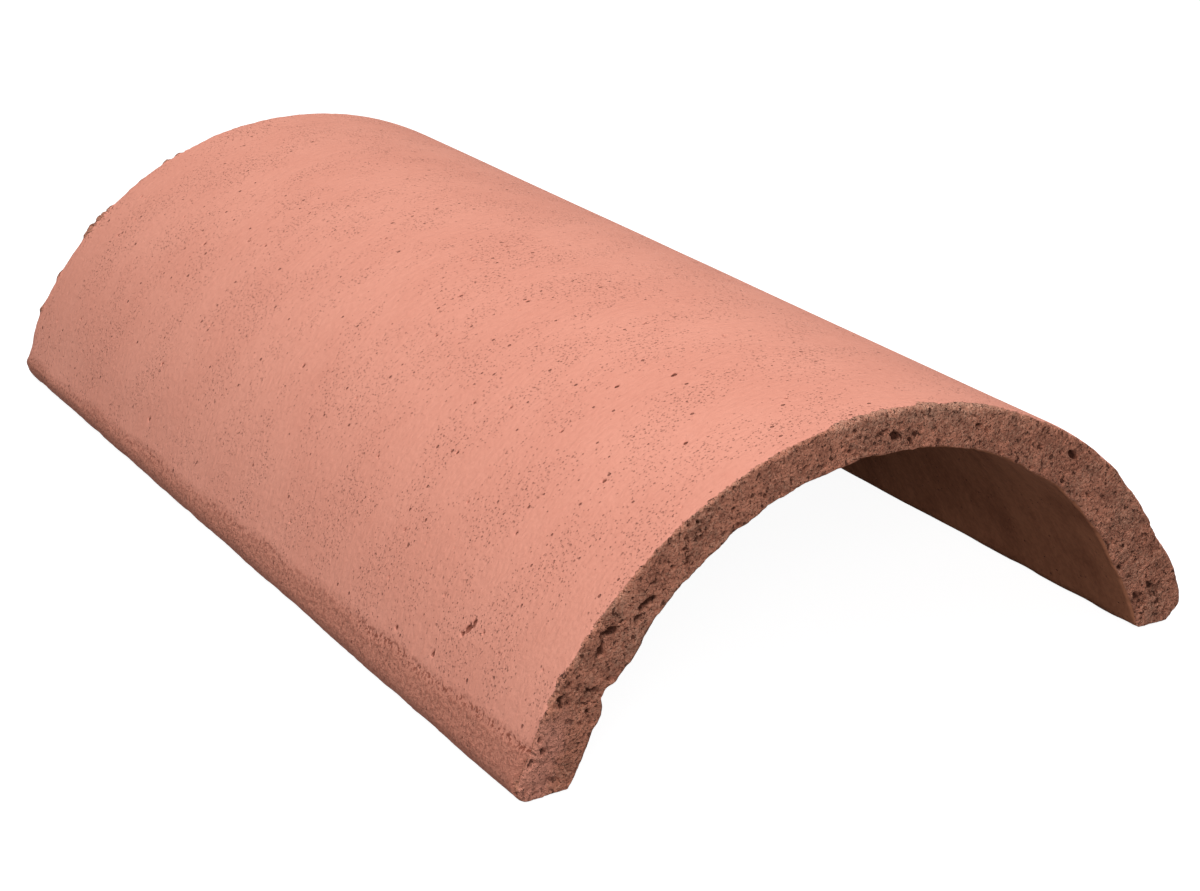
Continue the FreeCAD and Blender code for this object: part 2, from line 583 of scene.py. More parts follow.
def broken_end(place, seed):
    """How far a cut end lies back from its plane, and how deep it is open.

    Slow waves and the rubble in torn places set it back, and rounded grains of sand stand out. It is open at
    pores, torn places, gashes and, in front, the listed holes, and the deepest one counts. A slow
    noise says where they crowd, and another one bends their outlines.
    """
    jitter = np.stack([smooth_noise(place, 2.2, seed + 60 + axis) for axis in range(3)], axis=1)
    bent = place + 0.9 * jitter
    crowded = ramp(fractal_noise(place, 20, seed + 30, 2), -0.15, 0.5)
    wave = 0.26 * fractal_noise(place, 16, seed, 3)
    grain_distance, grain_size = nearest_seed(place, 1.7, seed + 10)
    grains = 0.22 * ramp(grain_distance, 0.75, 0.15) * (0.4 + 0.6 * grain_size)
    torn = crowded * ramp(fractal_noise(bent, 5.0, seed + 40, 3), 0.25, 0.70)
    rubble = 0.85 * torn * fractal_noise(place, 1.9, seed + 45, 2)
    pores = pore_depths(bent, crowded, seed + 20)
    gashes = gash_depths(bent, place, crowded, seed + 41)
    holes = np.where(place[:, 0] > 0, hole_depths(bent[:, 1], bent[:, 2], FRONT_HOLES), 0)
    return END_DEPTH + wave - grains + rubble, np.maximum.reduce([pores, 0.9 * torn, gashes, holes])


# ---------------------------------------------------------------- relief of the skin

class Skin:
    """The corners of the skin on the plain section, in millimetres, and what shapes their relief."""

    def __init__(self, box_place, lines, shape):
        self.along, around, self.outward = box_place.T
        wall = shape.crown_wall / MM
        outer_length = run_of(lines[0])
        self.x = (self.along - 0.5) * LENGTH
        self.y, self.z, self.out_y, self.out_z = section_at(around, self.outward, lines).T
        self.place = np.stack([self.x, self.y, self.z], axis=1)
        self.arc_place = (around - 0.5) * outer_length
        self.unrolled = np.stack([self.x, self.arc_place, np.zeros(len(self.x))], axis=1)
        self.front = np.where(self.x > 0, 1.0, 0.0)
        self.from_end = LENGTH / 2 - np.abs(self.x)
        self.below_coat = (1 - self.outward) * wall
        self.inside = np.minimum.reduce([
            self.outward * wall, self.below_coat, around * outer_length, (1 - around) * outer_length])
        self.on_outer = self.outward >= 1
        self.outer_half = self.outward > 0.5
        self.end_rim = np.stack([np.sign(self.x) * 99, self.arc_place, 40.0 * self.outer_half], axis=1)


def worn_arris(skin, shape):
    """Size of the worn edge round the cut ends: ragged, and larger on the outside of the left foot."""
    ragged = 1.0 + 0.9 * smooth_noise(skin.end_rim, 9, shape.seed + 70)
    ragged = ragged + 0.5 * smooth_noise(skin.end_rim, 3.1, shape.seed + 71)
    left_foot = ramp(skin.z, 34, 12) * ramp(-skin.y, 95, 115) * ramp(skin.outward, 0.3, 0.9)
    arris = shape.arris / MM * np.clip(ragged, 0.25, 2.4)
    return arris + left_foot * np.where(skin.x > 0, 3.0, 0.5) * ramp(skin.z, 1, 8)


def end_relief(skin, arris, seed):
    """How far the cut ends are set back along the ridge, and how deep they are open, which the materials
    paint dark as shade in the holes.
    """
    on_plane = np.stack([np.sign(skin.x) * LENGTH / 2, skin.y, skin.z], axis=1)
    back, cavity_shade = broken_end(on_plane, seed)
    cavity_shade = cavity_shade * ramp(skin.inside, 0.1, 1.3)
    back = back + cavity_shade + 0.5 * arris * np.clip(1 - skin.inside / arris, 0, 1) ** 2
    set_back = np.clip(back, 0, None) * np.clip(1 - skin.from_end / END_FADE, 0, 1) ** 2
    return set_back, cavity_shade


def chip_relief(skin, arris, seed):
    """How far the rims are worn and chipped, and a mask of where the coat has come off. The widest chips lie
    along the crown of the front end."""
    crown_chip = ramp(np.abs(skin.arc_place - 14), 46, 20) * skin.front
    chip_noise = fractal_noise(skin.end_rim, 7, seed + 80, 3)
    width = 0.15 + 2.0 * np.clip(chip_noise - 0.25, 0, 1) + crown_chip * (1.0 + 1.9 * chip_noise)
    width = np.clip(width, 0.15, 5)
    edge_noise = fractal_noise(skin.place, 2.0, seed + 90, 2)
    chipped = ramp(width + 0.6 * edge_noise - skin.from_end, -0.25, 0.35)
    worn = 0.5 * arris * np.clip(1 - skin.from_end / arris, 0, 1) ** 2
    crumbled = np.clip(1 - skin.from_end / (1.2 + width), 0, 1)
    return worn + crumbled * (0.12 + 0.16 * edge_noise + 0.16 * width), chipped


def back_crumbs(skin, seed):
    """How far the crumbs of mortar stand out from the coat at the back end."""
    crumb = np.zeros(len(skin.x))
    for crumb_place, reach, height in BACK_CRUMBS:
        distance = np.hypot(skin.arc_place - crumb_place, 1.3 * skin.from_end)
        hump = ramp(distance, reach, 0.3 * reach)
        crumb = np.maximum(crumb, height * hump * (skin.x < 0) * skin.on_outer)
    return crumb * (0.75 + 0.5 * smooth_noise(skin.place, 1.8, seed + 121))


def outer_relief(skin, seed):
    """How far slow waves set the outer face in, less the bulge above the right foot in front."""
    wave = 0.22 * smooth_noise(skin.unrolled, (90, 60, 50), seed + 100)
    wave = wave + 0.07 * smooth_noise(skin.unrolled, (26, 15, 20), seed + 101)
    bulge = 2.2 * ramp(np.abs(skin.z - 18), 19, 5) * (skin.y > 0) * skin.front * ramp(skin.from_end, 30, 3)
    return 0.10 + 0.7 * wave - bulge


def inner_relief(skin, seed):
    """How far slow waves set the inner face in, less the fins that slurry left along its rims, the lumps
    above the left foot in front and a swelling on the right."""
    wave = 0.30 * smooth_noise(skin.place, (14, 70, 70), seed + 110)
    wave = wave + 0.25 * smooth_noise(skin.place, 40, seed + 111)
    fin = np.clip(smooth_noise(skin.end_rim, 13, seed + 120) + 0.1, 0, 1)
    fin = fin * np.clip(1 - skin.from_end / 4, 0, 1) ** 2
    on_lumps = skin.front * (skin.y < 0) * ramp(skin.z, 60, 48)
    fin = fin * (1 - on_lumps)
    for lump_z, reach, height in FRONT_LUMPS:
        lump = height * ramp(np.abs(skin.z - lump_z), reach, 0.3 * reach)
        fin = fin + lump * on_lumps * np.clip(1 - skin.from_end / 18, 0, 1)
    swell = ramp(skin.y, 30, 70) * (ramp(skin.z, 12, 32) - ramp(skin.z, 18, 5))
    return 0.6 * wave - fin - swell


def foot_relief(skin, seed):
    """How far the crease and the rough band below it are set in, a mask of the band, and how strong the
    crease is. The coat paints the band browner and darker, partly as shade where the foot rounds under, and
    paints dark specks as shade along the crease. The foot is lumpy near the floor."""
    foot_side = (skin.z < 30) & skin.on_outer
    above_crease = skin.z - crease_height(skin.x) - 0.9 * smooth_noise(skin.unrolled, 17, seed + 130)
    band = ramp(above_crease, 3.4, -3.0) * foot_side
    line = np.exp(-(above_crease / 1.3) ** 2) * foot_side
    strength = 0.35 + 0.45 * ramp(skin.x, 60, 200) + 0.2 * smooth_noise(skin.unrolled, 24, seed + 131)
    rough = smooth_noise(skin.unrolled, 3.0, seed + 132)
    depth = line * strength * (0.45 + 0.35 * rough) + band * (0.10 + 0.10 * rough)
    lumps = 0.12 + 0.28 * smooth_noise(skin.unrolled, (11, 7, 9), seed + 133)
    return depth + ramp(skin.z, 9, 1) * np.clip(lumps, 0, 1), band, line * strength


def pit_relief(skin, pits, seed):
    """Depth of the pits in the coat: bowls with a wobbling rim, and the deepest one counts."""
    depth = np.zeros(len(skin.x))
    wobble = 0.22 * smooth_noise(skin.unrolled, 0.9, seed + 140)
    for pit_along, pit_around, radius, deepest in pits:
        reach = np.hypot(skin.x - pit_along, (skin.arc_place - pit_around) * 0.75) / radius + wobble
        depth = np.maximum(depth, deepest * ramp(reach, 1.1, 0.2))
    return depth * skin.on_outer


def missing_corners(skin, shape):
    """How far the skin is set in where a foot has lost material: under the outside of the right foot in
    front, and at the widest place of the left foot at the back."""
    right_foot = (skin.y > 0) & (skin.z < 25) & (skin.out_y > 0)
    corner = np.clip(-2 * skin.out_y * skin.out_z, 0, 1) * right_foot * skin.front
    corner = corner * ramp(skin.from_end, 60, 4)
    lumpy = 1 + 0.35 * smooth_noise(skin.place, (7, 5, 5), shape.seed + 134)
    left_foot = ramp(np.abs(skin.z - 9), 12, 4) * (skin.out_y < 0) * (skin.y < 0) * (skin.x < 0)
    return shape.broken_foot / MM * corner * lumpy + 1.6 * left_foot * ramp(skin.from_end, 10, 0)


def skin_shape(box_place, lines, shape, pits):
    """Finished places of the skin's corners, and what the materials read there.

    Each corner starts on the plain section. The relief of the cut ends moves it back along the ridge, and
    that fades out behind them. The relief of the skin moves it against its outward direction, and that fades
    out inside the cut ends.
    """
    seed = shape.seed
    skin = Skin(box_place, lines, shape)
    arris = worn_arris(skin, shape)
    set_back, cavity_shade = end_relief(skin, arris, seed)
    chips, chipped = chip_relief(skin, arris, seed)
    crumb = back_crumbs(skin, seed)
    wave = np.where(skin.outer_half, outer_relief(skin, seed) - crumb, inner_relief(skin, seed))
    foot, band, crease = foot_relief(skin, seed)
    pit_depth = pit_relief(skin, pits, seed)
    set_in = (chips + wave + foot + pit_depth) * np.clip(1 - skin.inside / SKIN_FADE, 0, 1) ** 2
    set_in = set_in + missing_corners(skin, shape) * np.clip(1 - skin.inside / CORNER_FADE, 0, 1) ** 2
    drawn_in = np.interp(skin.along, (0, 1), np.array(shape.left_foot_drawn_in) / MM) * (skin.y < 0)
    drawn_in = drawn_in * ramp(np.abs(skin.y), 30, 125) * (0.25 + 0.75 * skin.outward)

    finished = skin.place + np.stack([
        -np.sign(skin.x) * set_back,
        drawn_in - skin.out_y * set_in,
        -skin.out_z * set_in], axis=1)
    low_corner, high_corner = LOW + CLEARANCE, HIGH - CLEARANCE
    low_corner[2] = LOW[2]
    finished = np.clip(finished, low_corner, high_corner)

    on_end = skin.from_end < 1e-6
    cavity_shade = np.where(on_end, cavity_shade, cavity_shade * np.clip(1 - skin.from_end / 2, 0, 1))
    pale = ramp(skin.below_coat, 6.5, 0) * ramp(np.abs(skin.arc_place - 18), 50, 26)
    wrap = ramp(skin.z, 40, 14) * (skin.y < 0) * ramp(skin.below_coat, 14, 3)
    attributes = {
        "unrolled": np.stack([skin.x, skin.arc_place, skin.below_coat], axis=1) * MM,
        "bare": np.maximum.reduce([chipped, ramp(crumb, 0.2, 0.6), on_end.astype(float)]),
        # depth of the holes, pores and pits, which the materials paint dark as painted shade in them
        "cavity_shade": np.clip(np.maximum(cavity_shade / 2.4, pit_depth / 1.1), 0, 1),
        # band also darkens the coat as painted shade low on the feet
        "band": band,
        # crease also sets the dark specks that the coat paints as shade along the crease
        "crease": crease,
        "pale": pale * skin.front,
        "wrap": wrap * skin.front,
    }
    return finished * MM, attributes


def crown_radius(outer):
    """Radius of the outer arc, from its top and a point down its left side: the square of their distance over
    twice the fall between them."""
    steps_down = 60
    top = np.argmax(outer[:, 1])
    aside, fall = outer[top, :2] - outer[top - steps_down, :2]
    return (aside ** 2 + fall ** 2) / (2 * fall)


def tile_mesh(shape):
    """The tile as one closed mesh, with the number of its material on each triangle."""
    lines = section_lines(shape)
    outer = lines[0]
    pits = coat_pits(shape.seed, run_of(outer))

    def place_of(box_place):
        along, around, outward = box_place.T
        section = section_at(around, outward, lines)
        return np.stack([(along - 0.5) * LENGTH, section[:, 0], section[:, 1]], axis=1)

    corners, triangles = box_skin(COARSE_COUNTS)
    wanted = wanted_sides(shape, pits, crown_radius(outer))
    corners, triangles = refined(corners, triangles, place_of, wanted)
    places, attributes = skin_shape(corners, lines, shape, pits)

    mesh = bpy.data.meshes.new("tile")
    mesh.from_pydata(places, [], triangles)
    along, around, outward = corners[triangles].transpose(2, 0, 1)
    on_end = (along == 0).all(axis=1) | (along == 1).all(axis=1)
    outside = (outward == 1).all(axis=1)
    number = np.where(on_end, RAW, np.where(outside, COAT, SOFFIT))
    mesh.polygons.foreach_set("material_index", number.astype(np.int32))
    mesh.polygons.foreach_set("use_smooth", np.ones(len(triangles), dtype=bool))
    for name, values in attributes.items():
        if values.ndim == 2:
            mesh.attributes.new(name, "FLOAT_VECTOR", "POINT").data.foreach_set("vector", values.ravel())
        else:
            mesh.attributes.new(name, "FLOAT", "POINT").data.foreach_set("value", values)
    mesh.update()
    return mesh


# ---------------------------------------------------------------- node helpers

def feed(tree, socket, value):
    """Joins an input to another node's output, or sets it to a value."""
    if isinstance(value, bpy.types.NodeSocket):
        tree.links.new(value, socket)
    else:
        socket.default_value = value


def add_node(tree, kind, inputs=None, **settings):
    """A node with its settings and its inputs."""
    node = tree.nodes.new(kind)
    for name, value in settings.items():
        setattr(node, name, value)
    for name, value in (inputs or {}).items():
        feed(tree, node.inputs[name], value)
    return node


def maths(tree, operation, first, second=0.5, third=0.5):
    """The output of a Math node."""
    return add_node(tree, "ShaderNodeMath", {0: first, 1: second, 2: third}, operation=operation).outputs[0]


def between(tree, value, start, end, low=0.0, high=1.0):
    """value, mapped smoothly from the stretch start to end onto low to high."""
    node = add_node(
        tree, "ShaderNodeMapRange",
        {"Value": value, "From Min": start, "From Max": end, "To Min": low, "To Max": high},
        interpolation_type="SMOOTHSTEP")
    return node.outputs["Result"]


def blend(tree, share, first, second):
    """Two colours mixed by a share."""
    node = add_node(tree, "ShaderNodeMix", data_type="RGBA", blend_type="MIX", clamp_factor=True)
    for number, value in ((0, share), (6, first), (7, second)):
        feed(tree, node.inputs[number], value)
    return node.outputs[2]


def noise(tree, place, size, detail=2.0, roughness=0.5, stretch=(1, 1, 1)):
    """Noise with features about as large as size, in metres. stretch lengthens them along an axis."""
    scale = tuple(1 / (size * part) for part in stretch)
    moved = add_node(tree, "ShaderNodeVectorMath", {0: place, 1: scale}, operation="MULTIPLY").outputs[0]
    node = add_node(
        tree, "ShaderNodeTexNoise", {"Vector": moved, "Scale": 1.0, "Detail": detail, "Roughness": roughness})
    return node.outputs[0]


def read(tree, name, output="Fac"):
    """A value that the mesh carries under this name."""
    return add_node(tree, "ShaderNodeAttribute", attribute_name=name).outputs[output]


def opaque(colour):
    """A colour with full alpha."""
    return (*colour, 1.0)


def new_group(name, inputs, outputs):
    """A shader node group, with its input and output nodes. inputs are (name, kind, default), and kind is
    Float, Vector or Color."""
    tree = bpy.data.node_groups.new(name, "ShaderNodeTree")
    for label, kind, default in inputs:
        socket = tree.interface.new_socket(label, in_out="INPUT", socket_type=f"NodeSocket{kind}")
        if default is not None:
            socket.default_value = default
    for label, kind in outputs:
        tree.interface.new_socket(label, in_out="OUTPUT", socket_type=f"NodeSocket{kind}")
    return tree, tree.nodes.new("NodeGroupInput"), tree.nodes.new("NodeGroupOutput")


def use_group(tree, group, **values):
    """A group placed in a material, with its own values. Underscores in names stand for spaces."""
    inputs = {name.replace("_", " "): value for name, value in values.items()}
    return add_node(tree, "ShaderNodeGroup", inputs, node_tree=group)


# ---------------------------------------------------------------- node groups

def pinhole_group():
    """Small holes scattered one to a cell: a cell's random numbers decide whether it holds one and how large
    it is, and a slow noise makes them crowd together. Gives a mask."""
    tree, given, made = new_group(
        "pinholes",
        [("Place", "Vector", None), ("Spacing", "Float", 0.003), ("Radius", "Float", 0.16),
         ("Share", "Float", 0.4), ("Crowding", "Float", 0.5)],
        [("Mask", "Float")])
    place, spacing = given.outputs["Place"], given.outputs["Spacing"]
    scale = maths(tree, "DIVIDE", 1.0, spacing)
    cells = add_node(
        tree, "ShaderNodeTexVoronoi", {"Vector": place, "Scale": scale, "Randomness": 1.0},
        voronoi_dimensions="2D", feature="F1")
    number = add_node(tree, "ShaderNodeSeparateColor", {"Color": cells.outputs["Color"]})
    patches = noise(tree, place, 0.020, detail=4.0, roughness=0.65, stretch=(1.0, 1.6, 1.0))
    crowd = between(tree, patches, 0.40, 0.66, -1.0, 2.0)
    share = maths(tree, "MULTIPLY_ADD", crowd, given.outputs["Crowding"], 1.0)
    share = maths(tree, "MULTIPLY", share, given.outputs["Share"])
    chosen = maths(tree, "LESS_THAN", number.outputs[0], share)
    size = maths(tree, "MULTIPLY_ADD", number.outputs[1], 0.8, 0.4)
    size = maths(tree, "MULTIPLY", size, given.outputs["Radius"])
    reach = maths(tree, "DIVIDE", cells.outputs["Distance"], size)
    disc = between(tree, reach, 1.15, 0.55)
    tree.links.new(maths(tree, "MULTIPLY", disc, chosen), made.inputs["Mask"])
    return tree


def sand_group():
    """Sandy concrete: cement with paler grains, darker specks and fine pores, the pores painted dark as shade
    in them. Gives a colour, a height and how open it is."""
    tree, given, made = new_group(
        "sandy_concrete",
        [("Place", "Vector", None), ("Body", "Color", None), ("Pale", "Color", None), ("Dark", "Color", None),
         ("Paleness", "Float", 0.3), ("Openness", "Float", 0.5)],
        [("Colour", "Color"), ("Height", "Float"), ("Open", "Float")])
    place = given.outputs["Place"]
    clouds = noise(tree, place, 0.012, detail=3.0)
    speckle = noise(tree, place, 0.0011, detail=4.0, roughness=0.75)
    grain = add_node(
        tree, "ShaderNodeTexVoronoi", {"Vector": place, "Scale": 1 / 0.0011}, feature="F1")
    number = add_node(tree, "ShaderNodeSeparateColor", {"Color": grain.outputs["Color"]})
    paleness = maths(tree, "ADD", given.outputs["Paleness"], between(tree, clouds, 0.4, 0.7, -0.15, 0.25))
    pale = maths(tree, "ADD", between(tree, speckle, 0.38, 0.62, -0.30, 0.55), paleness)
    colour = blend(tree, pale, given.outputs["Body"], given.outputs["Pale"])
    shade = between(tree, noise(tree, place, 0.006, detail=4.0, roughness=0.7), 0.42, 0.60, 0.0, 0.55)
    shade = maths(tree, "MULTIPLY_ADD", between(tree, speckle, 0.50, 0.34), 0.45, shade)
    colour = blend(tree, maths(tree, "MULTIPLY", shade, 0.62), colour, given.outputs["Dark"])
    bright_grain = maths(tree, "GREATER_THAN", number.outputs[0], 0.90)
    round_grain = between(tree, grain.outputs["Distance"], 0.55, 0.3)
    bright_grain = maths(tree, "MULTIPLY", bright_grain, round_grain)
    bright_grain = maths(tree, "MULTIPLY", bright_grain, 0.5)
    colour = blend(tree, bright_grain, colour, given.outputs["Pale"])
    fine = noise(tree, place, 0.0008, detail=2.0, roughness=0.6)
    gaps = noise(tree, place, 0.0021, detail=3.0, roughness=0.6)
    level = maths(tree, "MULTIPLY_ADD", given.outputs["Openness"], -0.10, 0.64)
    fine_open = between(tree, maths(tree, "SUBTRACT", fine, level), 0.0, 0.08)
    gap_open = between(tree, maths(tree, "SUBTRACT", gaps, level), -0.01, 0.06)
    open_places = maths(tree, "MAXIMUM", maths(tree, "MULTIPLY", fine_open, 0.7), gap_open)
    # Painted shade: the fine pores darken towards the dark colour
    colour = blend(tree, maths(tree, "MULTIPLY", open_places, 0.8), colour, given.outputs["Dark"])
    height = maths(tree, "MULTIPLY_ADD", speckle, 0.7, maths(tree, "MULTIPLY", open_places, -1.0))
    height = maths(tree, "ADD", height, maths(tree, "MULTIPLY", round_grain, 0.25))
    tree.links.new(colour, made.inputs["Colour"])
    tree.links.new(height, made.inputs["Height"])
    tree.links.new(open_places, made.inputs["Open"])
    return tree


def cloud_group():
    """Slow clouds and drag marks that take a surface from one colour to another. Drag marks run round the
    arch. Gives a share, mostly from 0 to 1, and a fine height."""
    tree, given, made = new_group(
        "clouds_and_drag",
        [("Place", "Vector", None), ("Cloud Size", "Float", 0.05), ("Drag", "Float", 0.5)],
        [("Share", "Float"), ("Height", "Float")])
    place = given.outputs["Place"]
    scale = maths(tree, "DIVIDE", 1.0, given.outputs["Cloud Size"])
    scaled = add_node(tree, "ShaderNodeVectorMath", {0: place, "Scale": scale}, operation="SCALE").outputs[0]
    clouds = add_node(
        tree, "ShaderNodeTexNoise",
        {"Vector": scaled, "Scale": 1.0, "Detail": 3.0, "Roughness": 0.55}).outputs[0]
    drag = noise(tree, place, 0.0035, detail=3.0, roughness=0.6, stretch=(1.0, 4.5, 1.0))
    mottle = noise(tree, place, 0.0016, detail=2.0, roughness=0.6, stretch=(1.0, 1.8, 1.0))
    share = maths(tree, "MULTIPLY", between(tree, drag, 0.3, 0.7, -0.5, 0.5), given.outputs["Drag"])
    share = maths(tree, "ADD", share, between(tree, clouds, 0.32, 0.68))
    share = maths(tree, "ADD", share, between(tree, mottle, 0.3, 0.7, -0.40, 0.40))
    tree.links.new(share, made.inputs["Share"])
    height = maths(tree, "MULTIPLY_ADD", drag, 0.5, maths(tree, "MULTIPLY", mottle, 0.5))
    tree.links.new(height, made.inputs["Height"])
    return tree


# ---------------------------------------------------------------- materials

def new_material(name):
    """A material with only its output and a Principled shader."""
    material = bpy.data.materials.new(name)
    material.use_nodes = True
    tree = material.node_tree
    tree.nodes.clear()
    shader = tree.nodes.new("ShaderNodeBsdfPrincipled")
    output = tree.nodes.new("ShaderNodeOutputMaterial")
    tree.links.new(shader.outputs[0], output.inputs["Surface"])
    return material, tree, shader


def finish_shader(tree, shader, colour, roughness, height, bump_distance, specular):
    """Joins colour, roughness and height to the shader. The bump's distance is in metres."""
    bump = add_node(
        tree, "ShaderNodeBump", {"Height": height, "Distance": bump_distance, "Strength": 1.0})
    tree.links.new(colour, shader.inputs["Base Color"])
    tree.links.new(roughness, shader.inputs["Roughness"])
    tree.links.new(bump.outputs[0], shader.inputs["Normal"])
    shader.inputs["Specular IOR Level"].default_value = specular


# Pinholes in the coat, from the finest: spacing in metres, radius as a share of it, share of the cells that
# hold one, crowding, and how dark they are painted, as shade in them.
COAT_PINHOLES = (
    (0.0014, 0.18, 0.40, 1.0, 0.38),
    (0.0028, 0.115, 0.30, 1.0, 0.55),
    (0.0090, 0.055, 0.30, 0.7, 1.0),
)


def coat_holes(tree, unrolled, pinholes):
    """Mask of the pinholes in three sizes, a little longer round the arch, and of the pits in the mesh, which
    the coat darkens as painted shade in them.
    """
    flattened = add_node(
        tree, "ShaderNodeVectorMath", {0: unrolled, 1: (1.0, 0.80, 1.0)}, operation="MULTIPLY").outputs[0]
    holes = between(tree, read(tree, "cavity_shade"), 0.25, 0.75)
    for spacing, radius, share, crowding, hole_shade_strength in COAT_PINHOLES:
        scattered = use_group(
            tree, pinholes, Place=flattened, Spacing=spacing, Radius=radius, Share=share, Crowding=crowding)
        dark = maths(tree, "MULTIPLY", scattered.outputs["Mask"], hole_shade_strength)
        holes = maths(tree, "MAXIMUM", dark, holes)
    return holes


def raw_body(tree, finish, sand, paleness, openness):
    """Sandy concrete in the tile's own colours, with shade painted into its pores."""
    place = add_node(tree, "ShaderNodeTexCoord").outputs["Object"]
    return use_group(
        tree, sand, Place=place, Body=opaque(finish.raw), Pale=opaque(finish.raw_pale),
        Dark=opaque(finish.raw_dark_and_pore_shade), Paleness=paleness, Openness=openness)


def coat_material(finish, pinholes, sand, clouds):
    """Pigmented skin: two close pinks in clouds and drag marks, pinholes painted dark as shade in them, a
    browner rough band on the feet that is also painted darker as shade where the foot rounds under, dark
    specks painted as shade in the small pits along its crease, and bare sandy concrete where it is chipped."""
    material, tree, shader = new_material("pigmented_coat")
    unrolled = read(tree, "unrolled", "Vector")
    band = read(tree, "band")
    marks = use_group(tree, clouds, Place=unrolled, Cloud_Size=0.055, Drag=0.22)
    share = maths(tree, "MULTIPLY_ADD", marks.outputs["Share"], 0.34, 0.12)
    colour = blend(tree, share, opaque(finish.coat), opaque(finish.coat_deep))
    # Partly painted shade: the browner band, darkened where the foot rounds under
    colour = blend(tree, maths(tree, "MULTIPLY", band, 0.72), colour, opaque(finish.foot_band_and_shade))
    rough_speck = noise(tree, unrolled, 0.0016, detail=2.0, roughness=0.6)
    speck = between(tree, rough_speck, 0.47, 0.60)
    band_speck_shade = maths(tree, "MULTIPLY", band, 0.42)
    speck_shade = maths(tree, "MULTIPLY_ADD", read(tree, "crease"), 1.30, band_speck_shade)
    # Painted shade: dark specks in the small pits along the crease and in the band
    colour = blend(tree, maths(tree, "MULTIPLY", speck, speck_shade), colour, opaque(finish.pinhole_shade))
    holes = coat_holes(tree, unrolled, pinholes)
    # Painted shade: the pinholes and pits are darkened with the pinhole colour
    colour = blend(tree, maths(tree, "MULTIPLY", holes, 0.86), colour, opaque(finish.pinhole_shade))
    body = raw_body(tree, finish, sand, maths(tree, "MULTIPLY", read(tree, "pale"), 0.55), 0.40)
    fray = noise(tree, unrolled, 0.0011, detail=2.0, roughness=0.6)
    bare = maths(tree, "ADD", read(tree, "bare"), between(tree, fray, 0.3, 0.7, -0.30, 0.30))
    bare = between(tree, bare, 0.42, 0.60)
    colour = blend(tree, bare, colour, body.outputs["Colour"])
    hole_height = maths(tree, "MULTIPLY", holes, -0.8)
    height = maths(tree, "MULTIPLY_ADD", marks.outputs["Height"], 0.85, hole_height)
    height = maths(tree, "MULTIPLY_ADD", maths(tree, "MULTIPLY", rough_speck, band), 0.8, height)
    height = maths(tree, "MULTIPLY_ADD", body.outputs["Height"], bare, height)
    roughness = maths(tree, "MULTIPLY_ADD", maths(tree, "MAXIMUM", band, bare), 0.16, 0.74)
    finish_shader(tree, shader, colour, roughness, height, bump_distance=0.0011, specular=0.30)
    return material


def raw_material(finish, sand):
    """Sandy concrete of the cut ends: paler along the crown's outer rim, coat-coloured in patches where
    slurry wrapped over the left foot, and painted dark as shade in its pores and holes, more so the deeper
    they are."""
    material, tree, shader = new_material("raw_concrete")
    place = add_node(tree, "ShaderNodeTexCoord").outputs["Object"]
    drift = noise(tree, place, 0.03, detail=2.0)
    drift = between(tree, drift, 0.35, 0.65, -0.12, 0.20)
    body = raw_body(tree, finish, sand, maths(tree, "MULTIPLY_ADD", read(tree, "pale"), 0.50, drift), 0.35)
    cavity_shade = between(tree, read(tree, "cavity_shade"), 0.12, 0.75)
    patchy = noise(tree, place, 0.006, detail=4.0, roughness=0.7)
    wrapped = between(tree, maths(tree, "ADD", read(tree, "wrap"), patchy), 0.70, 1.30, 0.0, 0.75)
    colour = blend(tree, wrapped, body.outputs["Colour"], opaque(finish.coat))
    # Painted shade: the pores and holes darken by their depth
    colour = blend(tree, maths(tree, "MULTIPLY", cavity_shade, 0.9), colour, opaque(finish.raw_dark_and_pore_shade))
    roughness = maths(tree, "MULTIPLY_ADD", body.outputs["Open"], 0.08, 0.88)
    height = body.outputs["Height"]
    finish_shader(tree, shader, colour, roughness, height, bump_distance=0.0013, specular=0.08)
    return material


def soffit_material(finish, pinholes, clouds):
    """Inner face, smoothed by the former: brown with streaks round the arch, and a few pinholes painted dark
    as shade in them.
    """
    material, tree, shader = new_material("smoothed_soffit")
    unrolled = read(tree, "unrolled", "Vector")
    marks = use_group(tree, clouds, Place=unrolled, Cloud_Size=0.045, Drag=0.25)
    rings = noise(tree, unrolled, 0.009, detail=3.0, roughness=0.55, stretch=(1.0, 9.0, 1.0))
    streaks = between(tree, rings, 0.35, 0.65, 0.0, 0.40)
    share = maths(tree, "MULTIPLY_ADD", marks.outputs["Share"], 0.55, streaks)
    colour = blend(tree, share, opaque(finish.soffit), opaque(finish.soffit_dark))
    holes = use_group(tree, pinholes, Place=unrolled, Spacing=0.0045, Radius=0.10, Share=0.25, Crowding=0.8)
    holes = holes.outputs["Mask"]
    # Painted shade in the pinholes of the inner face
    colour = blend(tree, maths(tree, "MULTIPLY", holes, 0.7), colour, opaque(finish.raw_dark_and_pore_shade))
    height = maths(tree, "MULTIPLY_ADD", holes, -0.8, rings)
    height = maths(tree, "MULTIPLY_ADD", marks.outputs["Height"], 0.4, height)
    roughness = maths(tree, "MULTIPLY_ADD", marks.outputs["Share"], 0.08, 0.86)
    finish_shader(tree, shader, colour, roughness, height, bump_distance=0.00025, specular=0.03)
    return material


